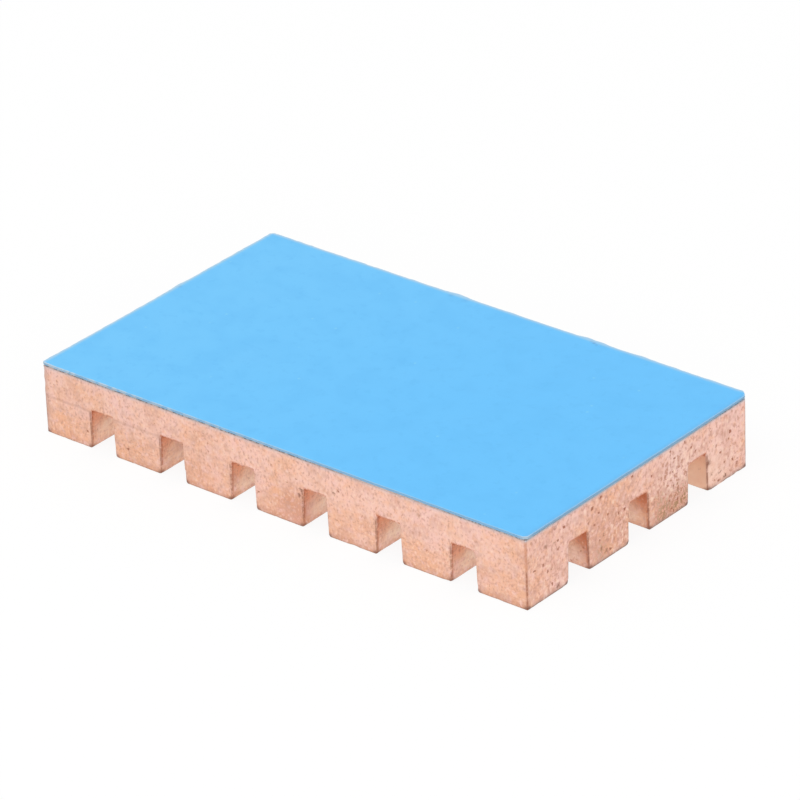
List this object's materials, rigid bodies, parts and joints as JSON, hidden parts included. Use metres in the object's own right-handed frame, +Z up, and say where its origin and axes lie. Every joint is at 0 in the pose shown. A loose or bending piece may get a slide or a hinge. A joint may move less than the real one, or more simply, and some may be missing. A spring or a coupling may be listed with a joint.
{
  "type": "ssd heat sink",
  "caption": "Small copper heat sink for an SSD: a flat base plate with a grid of short square pins on one side and thermal adhesive under a blue release liner on the other.",
  "frame": {"origin": "middle of the footprint, at the level of the pin tips", "axes": "+X along the long side, +Y along the short side, +Z up from the pin tips to the release liner"},
  "size_m": [0.022, 0.0127, 0.0028],
  "materials": {
    "pressed_copper": "bare pressed copper, matte, salmon pink, with fine pits",
    "thermal_adhesive": "filled thermal adhesive, dark grey at its cut edge",
    "liner_film": "sky blue polyester film, satin"
  },
  "bodies": {
    "root": {"copper_heat_sink": "pressed_copper", "thermal_adhesive": "thermal_adhesive", "release_liner": "liner_film"}
  },
  "joints": []
}
